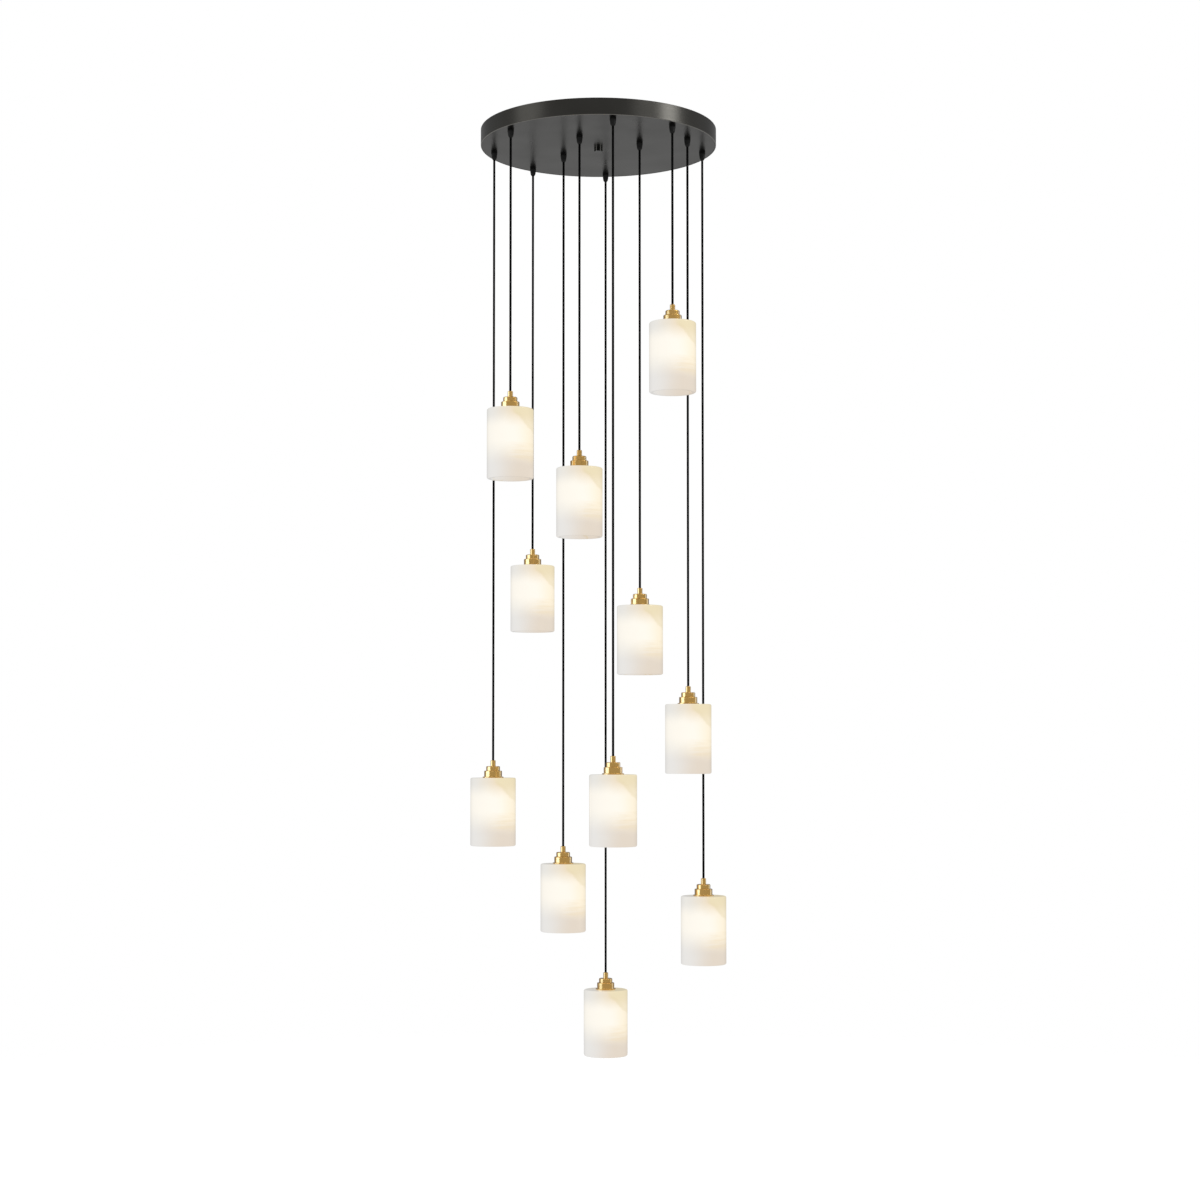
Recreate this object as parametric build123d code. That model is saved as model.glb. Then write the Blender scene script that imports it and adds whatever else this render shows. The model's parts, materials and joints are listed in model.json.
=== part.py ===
from build123d import *

import os
from math import atan2, cos, radians, sin, tan
from typing import NamedTuple

# Alabaster pendant light: eleven stone shades hung on cords from one round ceiling canopy.
# Units are millimetres and +Z is up. The origin is the centre of the canopy on the ceiling plane,
# so the whole light hangs below z = 0. +Y points away from the viewer and +X to the right.

# Canopy: a rolled rim with an inner flange, and a flat plate that sits up against that flange
CANOPY_DIAMETER = 520.0
CANOPY_HEIGHT = 36.0
RIM_WALL = 2.0
RIM_EDGE_ROUND = 1.2
RIM_FLANGE_WIDTH = 8.0
RIM_FLANGE_THICKNESS = 1.5
PLATE_THICKNESS = 2.0
PLATE_RECESS = 0.5
PLATE_EDGE_CLEARANCE = 0.3

# Mounting bar: a hat-shaped strap, its two feet screwed to the ceiling
BAR_LENGTH = 220.0
BAR_WIDTH = 40.0
BAR_THICKNESS = 3.0
BAR_MIDDLE_LENGTH = 60.0
BAR_MIDDLE_DROP = 12.0
BAR_SLOPE_LENGTH = 15.0
CEILING_SCREW_SPACING_X = 170.0
CEILING_SCREW_SPACING_Y = 20.0
CEILING_SCREW_HOLE = 5.5
EARTH_SCREW_X = -55.0

# Hanging rod, its lock nuts and the closed nut that holds the plate up
ROD_DIAMETER = 10.0
ROD_TOP_GAP = 2.0
ROD_NUT_FLATS = 16.0
ROD_NUT_HEIGHT = 8.0
CENTRE_NUT_FLATS = 17.0
CENTRE_NUT_HEIGHT = 10.0
CENTRE_NUT_FLOOR = 2.0
CENTRE_NUT_ROUND = 1.2
CENTRE_NUT_CHAMFER = 0.8

# Cord grips: a threaded body through the plate, a collet, and a bullet nose that tightens it
GRIP_DIAMETER = 14.0
GRIP_SHOULDER = 4.0
GRIP_NOSE_LENGTH = 14.0
GRIP_NOSE_TAPER = 1.3
GRIP_TIP_LENGTH = 5.0
GRIP_NOSE_FLOOR = 6.0
GRIP_NOSE_LAND = 0.2
GRIP_SPIGOT_DIAMETER = 9.0
GRIP_SPIGOT_LENGTH = 4.0
GRIP_THREAD = 10.0
GRIP_STUB = 8.0
GRIP_NUT_FLATS = 14.0
GRIP_NUT_HEIGHT = 5.0

# Cords
CORD_DIAMETER = 5.0
CORD_CLEARANCE = 0.3
PIVOT_DEPTH = 3.0
LEAD_GAP = 0.5

# Terminal blocks on the plate, one on each side of the bar
BLOCK_LENGTH = 76.0
BLOCK_WIDTH = 24.0
BLOCK_HEIGHT = 26.0
BLOCK_BAR_GAP = 4.0
BLOCK_EDGE_ROUND = 1.5
WAYS = 6
WAY_PITCH = 12.0
LEAD_RISE = 12.0
LEAD_BEND = 10.0
LEAD_INSERTION = 10.0
CLAMP_SCREW_DIAMETER = 3.6
CLAMP_SCREW_RECESS = 1.0
CLAMP_SCREW_SLOT_WIDTH = 0.8
CLAMP_SCREW_SLOT_DEPTH = 0.8
CLAMP_SCREW_OFFSET = 7.0
STUD_DIAMETER = 4.0
STUD_NUT_FLATS = 7.0
STUD_NUT_HEIGHT = 3.2
STUD_END = 0.8
EARTH_HEAD_DIAMETER = 8.0
EARTH_HEAD_HEIGHT = 3.0
EARTH_WASHER_DIAMETER = 10.0
EARTH_WASHER_THICKNESS = 1.0

# Shade: a stone cylinder, closed on top but for the lamp holder's hole, open below
SHADE_DIAMETER = 100.0
SHADE_HEIGHT = 150.0
SHADE_WALL = 9.0
SHADE_TOP = 10.0
SHADE_EDGE_ROUND = 3.5
SHADE_MOUTH_ROUND = 2.0
SHADE_HOLE_CLEARANCE = 0.5

# Lamp holder: stepped brass, clamped to the shade by a ring from inside
FERRULE_DIAMETER = 11.3
FERRULE_HEIGHT = 13.0
FERRULE_ROUND = 1.2
CAP_DIAMETER = 30.4
CAP_HEIGHT = 10.0
CAP_ROUND = 2.0
HOLDER_DIAMETER = 39.3
HOLDER_HEIGHT = 13.0
HOLDER_ROUND = 1.5
HOLDER_WALL = 2.0
FLANGE_DIAMETER = 46.0
FLANGE_THICKNESS = 2.5
FLANGE_ROUND = 0.8
SKIRT_DIAMETER = 39.0
SKIRT_LENGTH = 28.0
RING_DIAMETER = 56.0
RING_HEIGHT = 6.0
RING_ROUND = 1.5
NIPPLE_DIAMETER = 8.0
NIPPLE_INSERTION = 8.0
NIPPLE_NUT_FLATS = 13.0
NIPPLE_NUT_HEIGHT = 4.0
CORE_SCREW_DIAMETER = 2.6
CORE_SCREW_HEAD_DIAMETER = 5.0
CORE_SCREW_HEAD_HEIGHT = 2.0
CORE_SCREW_DEPTH = 6.0
CORE_SCREW_RADIUS = 10.5

# Lamp: porcelain core with a screw socket, and an opal bulb
CORE_BOTTOM_INSET = 2.0
SOCKET_DEPTH = 26.0
BULB_BASE_DIAMETER = 26.4
BULB_BASE_LENGTH = 24.0
BULB_DIAMETER = 45.0
BULB_LENGTH = 78.0
BULB_NECK_DIAMETER = 26.0
BULB_NECK_LENGTH = 4.0
BULB_SHOULDER_ANGLE = 40.0
SOCKET_CLEARANCE = 0.6

# Clearances shared by every screw thread and every plain hole around a screw
THREAD_CLEARANCE = 0.15
HOLE_CLEARANCE = 0.2

# Largest shares that rounds take of their wall, and that a lead's bend takes of its shorter run
EDGE_ROUND_SHARE = 0.6
MOUTH_ROUND_SHARE = 0.3
BEND_SHARE = 0.45

# Rings that the cords hang on, as radii: two of them follow the canopy's edge
OUTER_RING_INSET = 24.0
MIDDLE_RING_INSET = 54.0
OUTER_RING = CANOPY_DIAMETER / 2 - OUTER_RING_INSET
MIDDLE_RING = CANOPY_DIAMETER / 2 - MIDDLE_RING_INSET
INNER_RING = 99.0

# Drops of the highest and the lowest shade, from the ceiling to the shade's top
SHORTEST_DROP = 460.0
LONGEST_DROP = 1915.0


class Pendant(NamedTuple):
    """One hanging shade: its place on the canopy, its drop, and where its lead is wired."""

    ring: float
    angle: float
    drop: float
    way: int
    approach: float

    @property
    def x(self):
        return self.ring * cos(radians(self.angle))

    @property
    def y(self):
        return self.ring * sin(radians(self.angle))

    @property
    def side(self):
        """+1 for the terminal block on the far side of the bar, -1 for the near one."""
        return 1 if self.y > 0 else -1


# Ring radius, angle from +X, drop from the ceiling to the shade's top, terminal way, lead's approach.
# The highest shade comes first.
PENDANTS = [
    Pendant(OUTER_RING, -48.0, SHORTEST_DROP, 3, 30.0),
    Pendant(OUTER_RING, -143.0, 640.0, 0, 10.0),
    Pendant(INNER_RING, -114.5, 760.0, 1, 10.0),
    Pendant(OUTER_RING, 129.5, 950.0, 2, 60.0),
    Pendant(INNER_RING, -24.0, 1055.0, 5, 10.0),
    Pendant(MIDDLE_RING, -19.5, 1270.0, 4, 24.0),
    Pendant(OUTER_RING, -82.5, 1420.0, 2, 20.0),
    Pendant(OUTER_RING, 170.0, 1430.0, 1, 50.0),
    Pendant(INNER_RING, 142.0, 1620.0, 0, 16.0),
    Pendant(OUTER_RING, 11.0, 1690.0, 4, 14.0),
    Pendant(OUTER_RING, 86.0, LONGEST_DROP, 3, 60.0),
]

# Heights that several pieces share
PLATE_BOTTOM = -CANOPY_HEIGHT + PLATE_RECESS
PLATE_TOP = PLATE_BOTTOM + PLATE_THICKNESS
BAR_MIDDLE_TOP = -BAR_MIDDLE_DROP
BAR_MIDDLE_BOTTOM = BAR_MIDDLE_TOP - BAR_THICKNESS
GRIP_NOSE_TOP = PLATE_BOTTOM - GRIP_SHOULDER
GRIP_TIP = GRIP_NOSE_TOP - GRIP_NOSE_LENGTH
GRIP_STUB_TOP = PLATE_TOP + GRIP_STUB
COLLET_TOP = GRIP_NOSE_TOP - GRIP_SPIGOT_LENGTH
COLLET_BOTTOM = GRIP_TIP + GRIP_NOSE_FLOOR
CORD_PIVOT = GRIP_TIP + PIVOT_DEPTH
LEAD_LEVEL = GRIP_STUB_TOP + LEAD_RISE
BLOCK_FACE_Y = BAR_WIDTH / 2 + BLOCK_BAR_GAP + BLOCK_WIDTH
BLOCK_CENTRE_Y = BLOCK_FACE_Y - BLOCK_WIDTH / 2
CORD_BORE = CORD_DIAMETER + 2 * CORD_CLEARANCE

# Heights in a lamp holder, from the shade's top face
HOLDER_TOP = FLANGE_THICKNESS + HOLDER_HEIGHT
HOLDER_CEILING = HOLDER_TOP - HOLDER_WALL
CAP_TOP = HOLDER_TOP + CAP_HEIGHT
FERRULE_TOP = CAP_TOP + FERRULE_HEIGHT
NIPPLE_TOP = CAP_TOP + NIPPLE_INSERTION
NIPPLE_BOTTOM = HOLDER_CEILING - NIPPLE_NUT_HEIGHT
CORE_BOTTOM = -SKIRT_LENGTH + CORE_BOTTOM_INSET
SOCKET_CEILING = CORE_BOTTOM + SOCKET_DEPTH
HOLDER_BORE = SKIRT_DIAMETER - 2 * HOLDER_WALL

FOOT = (Align.CENTER, Align.CENTER, Align.MIN)
MATCH = 1e-3


def column(diameter, bottom, top):
    """A solid round column between two heights on the Z axis."""
    return Pos(0, 0, bottom) * Cylinder(diameter / 2, top - bottom, align=FOOT)


def hexagon(flats, bore, bottom, top):
    """A hexagon nut between two heights, with its flats' distance and its bore."""
    outline = RegularPolygon(flats / 2, 6, major_radius=False) - Circle(bore / 2)
    return Pos(0, 0, bottom) * extrude(outline, top - bottom)


def circles_at(part, diameter, height):
    """The part's round edges of one diameter at one height."""
    rings = part.edges().filter_by(GeomType.CIRCLE)
    rings = rings.filter_by(lambda edge: abs(edge.arc_center.Z - height) < MATCH)
    return rings.filter_by(lambda edge: abs(edge.radius - diameter / 2) < MATCH)


def place_at_grips(piece):
    """A copy of one piece at every cord grip."""
    return [Pos(p.x, p.y, 0) * piece for p in PENDANTS]


def way_x(way):
    """A terminal way's place along its block."""
    return (way - (WAYS - 1) / 2) * WAY_PITCH


def place_at_studs(piece):
    """A copy of one piece at every weld stud: two to a block, each half way between two ways."""
    return [Pos(x, y, 0) * piece for x in (-WAY_PITCH, WAY_PITCH) for y in (-BLOCK_CENTRE_Y, BLOCK_CENTRE_Y)]


# Canopy
def make_canopy_rim():
    inside = CANOPY_DIAMETER - 2 * RIM_WALL
    rim = column(CANOPY_DIAMETER, -CANOPY_HEIGHT, 0) - column(inside, -CANOPY_HEIGHT, 0)
    edge_round = min(RIM_EDGE_ROUND, RIM_WALL * EDGE_ROUND_SHARE)
    rim = fillet(circles_at(rim, CANOPY_DIAMETER, -CANOPY_HEIGHT), edge_round)
    flange_top = PLATE_TOP + RIM_FLANGE_THICKNESS
    flange = column(CANOPY_DIAMETER - RIM_WALL, PLATE_TOP, flange_top)
    flange -= column(inside - 2 * RIM_FLANGE_WIDTH, PLATE_TOP, flange_top)
    return rim + flange


def make_canopy_plate():
    diameter = CANOPY_DIAMETER - 2 * (RIM_WALL + PLATE_EDGE_CLEARANCE)
    plate = column(diameter, PLATE_BOTTOM, PLATE_TOP)
    plate -= column(ROD_DIAMETER + 2 * HOLE_CLEARANCE, PLATE_BOTTOM, PLATE_TOP)
    return plate - place_at_grips(column(GRIP_THREAD + 2 * HOLE_CLEARANCE, PLATE_BOTTOM, PLATE_TOP))


# Mounting bar and hanging rod
def make_mounting_bar():
    half_end = BAR_LENGTH / 2
    half_middle = BAR_MIDDLE_LENGTH / 2
    half_foot = half_middle + BAR_SLOPE_LENGTH
    slope = atan2(BAR_MIDDLE_DROP, BAR_SLOPE_LENGTH)
    shift = BAR_THICKNESS * tan(slope / 2)
    right = [
        (half_middle, BAR_MIDDLE_TOP),
        (half_foot, 0),
        (half_end, 0),
        (half_end, -BAR_THICKNESS),
        (half_foot + shift, -BAR_THICKNESS),
        (half_middle + shift, BAR_MIDDLE_BOTTOM),
    ]
    left = [(-x, z) for x, z in reversed(right)]
    outline = make_face(Polyline(*right, *left, close=True))
    bar = extrude(Plane.XZ * outline, BAR_WIDTH / 2, both=True)
    holes = GridLocations(CEILING_SCREW_SPACING_X, CEILING_SCREW_SPACING_Y, 2, 2)
    bar -= holes * column(CEILING_SCREW_HOLE, -BAR_THICKNESS, 0)
    bar -= column(ROD_DIAMETER + 2 * HOLE_CLEARANCE, BAR_MIDDLE_BOTTOM, BAR_MIDDLE_TOP)
    earth_hole = column(STUD_DIAMETER + 2 * THREAD_CLEARANCE, -BAR_THICKNESS, 0)
    return bar - Pos(EARTH_SCREW_X, 0, 0) * earth_hole


def make_hanging_rod():
    rod_bottom = PLATE_BOTTOM - CENTRE_NUT_HEIGHT + CENTRE_NUT_FLOOR
    return column(ROD_DIAMETER, rod_bottom, -ROD_TOP_GAP)


def make_rod_nuts():
    bore = ROD_DIAMETER + 2 * THREAD_CLEARANCE
    upper = hexagon(ROD_NUT_FLATS, bore, BAR_MIDDLE_TOP, BAR_MIDDLE_TOP + ROD_NUT_HEIGHT)
    lower = hexagon(ROD_NUT_FLATS, bore, BAR_MIDDLE_BOTTOM - ROD_NUT_HEIGHT, BAR_MIDDLE_BOTTOM)
    return [upper, lower]


def make_centre_nut():
    """A hexagon nut, closed below, with rounded upright edges and a flat facing the viewer."""
    bottom = PLATE_BOTTOM - CENTRE_NUT_HEIGHT
    outline = RegularPolygon(CENTRE_NUT_FLATS / 2, 6, major_radius=False)
    nut = Pos(0, 0, bottom) * extrude(outline, CENTRE_NUT_HEIGHT)
    nut = fillet(nut.edges().filter_by(Axis.Z), CENTRE_NUT_ROUND)
    nut = chamfer(nut.faces().sort_by(Axis.Z)[0].edges(), CENTRE_NUT_CHAMFER)
    bore = ROD_DIAMETER + 2 * THREAD_CLEARANCE
    return nut - column(bore, bottom + CENTRE_NUT_FLOOR, PLATE_BOTTOM)


def make_earth_screw():
    washer_bottom = -BAR_THICKNESS - EARTH_WASHER_THICKNESS
    washer = column(EARTH_WASHER_DIAMETER, washer_bottom, -BAR_THICKNESS)
    washer -= column(STUD_DIAMETER + 2 * HOLE_CLEARANCE, washer_bottom, -BAR_THICKNESS)
    head_bottom = washer_bottom - EARTH_HEAD_HEIGHT
    screw = column(EARTH_HEAD_DIAMETER, head_bottom, washer_bottom)
    screw += column(STUD_DIAMETER, washer_bottom, -HOLE_CLEARANCE)
    return [Pos(EARTH_SCREW_X, 0, 0) * piece for piece in (washer, screw)]


# Cord grips
def make_grip_bodies():
    body = column(GRIP_DIAMETER, GRIP_NOSE_TOP, PLATE_BOTTOM)
    body += column(GRIP_THREAD, PLATE_BOTTOM, GRIP_STUB_TOP)
    body += column(GRIP_SPIGOT_DIAMETER, COLLET_TOP, GRIP_NOSE_TOP)
    return place_at_grips(body - column(CORD_BORE, COLLET_TOP, GRIP_STUB_TOP))


def make_grip_noses():
    """Bullets: a straight taper, then a tip that curves in from it to a narrow land."""
    top = (GRIP_DIAMETER / 2, GRIP_NOSE_TOP)
    waist = (GRIP_DIAMETER / 2 - GRIP_NOSE_TAPER, GRIP_TIP + GRIP_TIP_LENGTH)
    land = (CORD_BORE / 2 + GRIP_NOSE_LAND, GRIP_TIP)
    taper = Polyline(land, (0, GRIP_TIP), (0, GRIP_NOSE_TOP), top, waist)
    tip = TangentArc(waist, land, tangent=taper % 1)
    nose = revolve(Plane.XZ * make_face(taper + tip), Axis.Z)
    nose -= column(GRIP_SPIGOT_DIAMETER + 2 * HOLE_CLEARANCE, COLLET_BOTTOM, GRIP_NOSE_TOP)
    return place_at_grips(nose - column(CORD_BORE, GRIP_TIP, COLLET_BOTTOM))


def make_grip_collets():
    collet = column(GRIP_SPIGOT_DIAMETER, COLLET_BOTTOM, COLLET_TOP)
    return place_at_grips(collet - column(CORD_BORE, COLLET_BOTTOM, COLLET_TOP))


def make_grip_nuts():
    bore = GRIP_THREAD + 2 * THREAD_CLEARANCE
    return place_at_grips(hexagon(GRIP_NUT_FLATS, bore, PLATE_TOP, PLATE_TOP + GRIP_NUT_HEIGHT))


# Terminal blocks and leads
def make_terminal_blocks():
    block = Pos(0, 0, PLATE_TOP) * Box(BLOCK_LENGTH, BLOCK_WIDTH, BLOCK_HEIGHT, align=FOOT)
    block = fillet(block.edges().filter_by(Axis.Z), BLOCK_EDGE_ROUND)
    tunnel = Rot(90, 0, 0) * Cylinder(CORD_BORE / 2, BLOCK_WIDTH)
    block_top = PLATE_TOP + BLOCK_HEIGHT
    screw_hole = column(CLAMP_SCREW_DIAMETER + 2 * HOLE_CLEARANCE, LEAD_LEVEL, block_top)
    for way in range(WAYS):
        block -= Pos(way_x(way), 0, LEAD_LEVEL) * tunnel
        block -= [Pos(way_x(way), side * CLAMP_SCREW_OFFSET, 0) * screw_hole for side in (-1, 1)]
    stud_holes = place_at_studs(column(STUD_DIAMETER + 2 * HOLE_CLEARANCE, PLATE_TOP, block_top))
    return [Pos(0, side * BLOCK_CENTRE_Y, 0) * block - stud_holes for side in (-1, 1)]


def make_terminal_screws():
    bottom = LEAD_LEVEL + CORD_BORE / 2
    top = PLATE_TOP + BLOCK_HEIGHT - CLAMP_SCREW_RECESS
    screw = column(CLAMP_SCREW_DIAMETER, bottom, top)
    slot = Box(CLAMP_SCREW_DIAMETER, CLAMP_SCREW_SLOT_WIDTH, CLAMP_SCREW_SLOT_DEPTH, align=FOOT)
    screw -= Pos(0, 0, top - CLAMP_SCREW_SLOT_DEPTH) * slot
    rows = [side * BLOCK_CENTRE_Y + row * CLAMP_SCREW_OFFSET for side in (-1, 1) for row in (-1, 1)]
    return [Pos(way_x(way), y, 0) * screw for way in range(WAYS) for y in rows]


def make_block_nuts():
    bottom = PLATE_TOP + BLOCK_HEIGHT
    bore = STUD_DIAMETER + 2 * THREAD_CLEARANCE
    return place_at_studs(hexagon(STUD_NUT_FLATS, bore, bottom, bottom + STUD_NUT_HEIGHT))


def make_block_studs():
    """Weld studs that stand on the plate and pass through the blocks."""
    stud_top = PLATE_TOP + BLOCK_HEIGHT + STUD_NUT_HEIGHT + STUD_END
    return place_at_studs(column(STUD_DIAMETER, PLATE_TOP, stud_top))


def corner_radius(before, corner, after, largest):
    """The bend at a corner: as large as its shorter run allows, up to a given radius."""
    runs = [corner - before, after - corner]
    turn = runs[0].get_angle(runs[1])
    return min(largest, BEND_SHARE * min(run.length for run in runs) / tan(radians(turn / 2)))


def make_canopy_leads():
    """Leads that rise from the grips, turn level and enter their terminal ways square on."""
    leads = []
    for p in PENDANTS:
        x = way_x(p.way)
        points = [
            Vector(p.x, p.y, CORD_PIVOT + CORD_DIAMETER / 2 + LEAD_GAP),
            Vector(p.x, p.y, LEAD_LEVEL),
            Vector(x, p.side * (BLOCK_FACE_Y + p.approach), LEAD_LEVEL),
            Vector(x, p.side * (BLOCK_FACE_Y - LEAD_INSERTION), LEAD_LEVEL),
        ]
        level_run = (points[2] - points[1]).length
        radii = [corner_radius(*points[:3], LEAD_BEND), corner_radius(*points[1:], level_run)]
        route = FilletPolyline(*points, radius=radii)
        start = Plane(route @ 0, z_dir=route % 0)
        leads.append(sweep(start * Circle(CORD_DIAMETER / 2), path=route))
    return leads


# Pendants: each piece is made with the shade's top face at z = 0, then hung at its drop
def make_shade():
    inside = SHADE_DIAMETER - 2 * SHADE_WALL
    shade = column(SHADE_DIAMETER, -SHADE_HEIGHT, 0)
    outer = circles_at(shade, SHADE_DIAMETER, 0) + circles_at(shade, SHADE_DIAMETER, -SHADE_HEIGHT)
    shade = fillet(outer, min(SHADE_EDGE_ROUND, SHADE_WALL * EDGE_ROUND_SHARE))
    shade -= column(inside, -SHADE_HEIGHT, -SHADE_TOP)
    mouth_round = min(SHADE_MOUTH_ROUND, SHADE_WALL * MOUTH_ROUND_SHARE)
    shade = fillet(circles_at(shade, inside, -SHADE_HEIGHT), mouth_round)
    return shade - column(SKIRT_DIAMETER + 2 * SHADE_HOLE_CLEARANCE, -SHADE_TOP, 0)


def make_ferrule():
    ferrule = column(FERRULE_DIAMETER, CAP_TOP, FERRULE_TOP)
    ferrule = fillet(circles_at(ferrule, FERRULE_DIAMETER, FERRULE_TOP), FERRULE_ROUND)
    ferrule -= column(NIPPLE_DIAMETER + 2 * THREAD_CLEARANCE, CAP_TOP, NIPPLE_TOP)
    return ferrule - column(CORD_BORE, NIPPLE_TOP, FERRULE_TOP)


def make_holder_cap():
    cap = column(CAP_DIAMETER, HOLDER_TOP, CAP_TOP)
    cap = fillet(circles_at(cap, CAP_DIAMETER, CAP_TOP), CAP_ROUND)
    cap -= column(CAP_DIAMETER - 2 * HOLDER_WALL, HOLDER_TOP, CAP_TOP - HOLDER_WALL)
    return cap - column(NIPPLE_DIAMETER + 2 * HOLE_CLEARANCE, CAP_TOP - HOLDER_WALL, CAP_TOP)


def core_screw_places():
    return [Pos(side * CORE_SCREW_RADIUS, 0, 0) for side in (-1, 1)]


def make_holder_body():
    body = column(HOLDER_DIAMETER, FLANGE_THICKNESS, HOLDER_TOP)
    body = fillet(circles_at(body, HOLDER_DIAMETER, HOLDER_TOP), HOLDER_ROUND)
    flange = column(FLANGE_DIAMETER, 0, FLANGE_THICKNESS)
    flange = fillet(circles_at(flange, FLANGE_DIAMETER, FLANGE_THICKNESS), FLANGE_ROUND)
    body = body + flange + column(SKIRT_DIAMETER, -SKIRT_LENGTH, 0)
    body -= column(HOLDER_BORE, -SKIRT_LENGTH, HOLDER_CEILING)
    body -= column(NIPPLE_DIAMETER + 2 * HOLE_CLEARANCE, HOLDER_CEILING, HOLDER_TOP)
    screw_hole = column(CORE_SCREW_DIAMETER + 2 * HOLE_CLEARANCE, HOLDER_CEILING, HOLDER_TOP)
    return body - [place * screw_hole for place in core_screw_places()]


def make_nipple():
    return column(NIPPLE_DIAMETER, NIPPLE_BOTTOM, NIPPLE_TOP) - column(CORD_BORE, NIPPLE_BOTTOM, NIPPLE_TOP)


def make_nipple_nut():
    bore = NIPPLE_DIAMETER + 2 * THREAD_CLEARANCE
    return hexagon(NIPPLE_NUT_FLATS, bore, NIPPLE_BOTTOM, HOLDER_CEILING)


def make_core_screw():
    head = column(CORE_SCREW_HEAD_DIAMETER, HOLDER_TOP, HOLDER_TOP + CORE_SCREW_HEAD_HEIGHT)
    return head + column(CORE_SCREW_DIAMETER, HOLDER_CEILING - CORE_SCREW_DEPTH, HOLDER_TOP)


def make_shade_ring():
    bottom = -SHADE_TOP - RING_HEIGHT
    ring = column(RING_DIAMETER, bottom, -SHADE_TOP)
    ring = fillet(circles_at(ring, RING_DIAMETER, bottom), RING_ROUND)
    return ring - column(SKIRT_DIAMETER + 2 * THREAD_CLEARANCE, bottom, -SHADE_TOP)


def make_lamp_holder():
    """The stepped brass holder: ferrule, cap, body, nipple, nut, two core screws and shade ring."""
    pieces = [make_ferrule(), make_holder_cap(), make_holder_body(), make_nipple(), make_nipple_nut()]
    pieces += [place * make_core_screw() for place in core_screw_places()]
    return pieces + [make_shade_ring()]


def make_core():
    core = column(HOLDER_BORE - 2 * HOLE_CLEARANCE, CORE_BOTTOM, HOLDER_CEILING)
    nut_across_corners = NIPPLE_NUT_FLATS / cos(radians(30))
    core -= column(nut_across_corners + 2 * SOCKET_CLEARANCE, NIPPLE_BOTTOM, HOLDER_CEILING)
    core -= column(BULB_BASE_DIAMETER + 2 * SOCKET_CLEARANCE, CORE_BOTTOM, SOCKET_CEILING)
    hole_bottom = HOLDER_CEILING - CORE_SCREW_DEPTH - HOLE_CLEARANCE
    screw_hole = column(CORE_SCREW_DIAMETER + 2 * THREAD_CLEARANCE, hole_bottom, HOLDER_CEILING)
    return core - [place * screw_hole for place in core_screw_places()]


def make_bulb_base():
    return column(BULB_BASE_DIAMETER, SOCKET_CEILING - BULB_BASE_LENGTH, SOCKET_CEILING)


def make_bulb():
    """The opal envelope: a straight neck, a cone and a globe, turned about the axis."""
    top = SOCKET_CEILING - BULB_BASE_LENGTH
    bottom = SOCKET_CEILING - BULB_LENGTH
    radius = BULB_DIAMETER / 2
    neck = BULB_NECK_DIAMETER / 2
    centre = bottom + radius
    shoulder = radians(BULB_SHOULDER_ANGLE)
    shoulder_point = (radius * cos(shoulder), centre + radius * sin(shoulder))
    side = Polyline((0, bottom), (0, top), (neck, top), (neck, top - BULB_NECK_LENGTH), shoulder_point)
    globe = ThreePointArc(shoulder_point, (radius, centre), (0, bottom))
    return revolve(Plane.XZ * make_face(side + globe), Axis.Z)


def make_lamp():
    """The porcelain core, the bulb's metal base and its opal envelope."""
    return [make_core(), make_bulb_base(), make_bulb()]


def make_cord(p):
    """A taut cord: its rounded top end turns in the grip's nose, and its foot is in the nipple."""
    radius = CORD_DIAMETER / 2
    bottom = -p.drop + NIPPLE_BOTTOM
    crown = CORD_PIVOT + radius
    side = Polyline((0, crown), (0, bottom), (radius, bottom), (radius, CORD_PIVOT))
    crown_arc = RadiusArc((radius, CORD_PIVOT), (0, crown), -radius)
    return Pos(p.x, p.y, 0) * revolve(Plane.XZ * make_face(side + crown_arc), Axis.Z)


def hang(pieces, p):
    """Copies of one pendant's pieces at its place and drop."""
    return [Pos(p.x, p.y, -p.drop) * piece for piece in pieces]


def make_nodes():
    """Every node's solids by the node's name."""
    nodes = {
        "canopy_rim": [make_canopy_rim()],
        "canopy_plate": [make_canopy_plate()],
        "mounting_bar": [make_mounting_bar()],
        "hanging_rod": [make_hanging_rod()],
        "rod_nuts": make_rod_nuts(),
        "centre_nut": [make_centre_nut()],
        "earth_screw": make_earth_screw(),
        "grip_bodies": make_grip_bodies(),
        "grip_noses": make_grip_noses(),
        "grip_collets": make_grip_collets(),
        "grip_nuts": make_grip_nuts(),
        "terminal_blocks": make_terminal_blocks(),
        "terminal_screws": make_terminal_screws(),
        "block_studs": make_block_studs(),
        "block_nuts": make_block_nuts(),
        "canopy_leads": make_canopy_leads(),
    }
    shade = make_shade()
    lamp_holder = make_lamp_holder()
    lamp = make_lamp()
    for number, p in enumerate(PENDANTS, start=1):
        nodes[f"cord_{number:02d}"] = [make_cord(p)]
        nodes[f"lamp_holder_{number:02d}"] = hang(lamp_holder, p)
        nodes[f"lamp_{number:02d}"] = hang(lamp, p)
        nodes[f"shade_{number:02d}"] = hang([shade], p)
    return nodes


os.makedirs("parts", exist_ok=True)
for name, pieces in make_nodes().items():
    solids = [solid for piece in pieces for solid in piece.solids()]
    export_step(Compound(solids), f"parts/{name}.step")
    print(f"{name}: {len(solids)} solids, {sum(s.volume for s in solids) / 1000:.1f} cm3")
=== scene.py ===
# %% [markdown]
# # An alabaster pendant light
# Eleven hollow stone cylinders hang on black cords, at staggered heights, from one round metal canopy.
# The CAD model is loaded first, as a fixed frame in metres. Every piece made here then sits where a node
# of that frame is, and rides on the body that carries the node, so nothing has to be fitted afterwards.

# %% Load the frame
import json
from math import cos, radians, sin
from typing import NamedTuple

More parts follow.
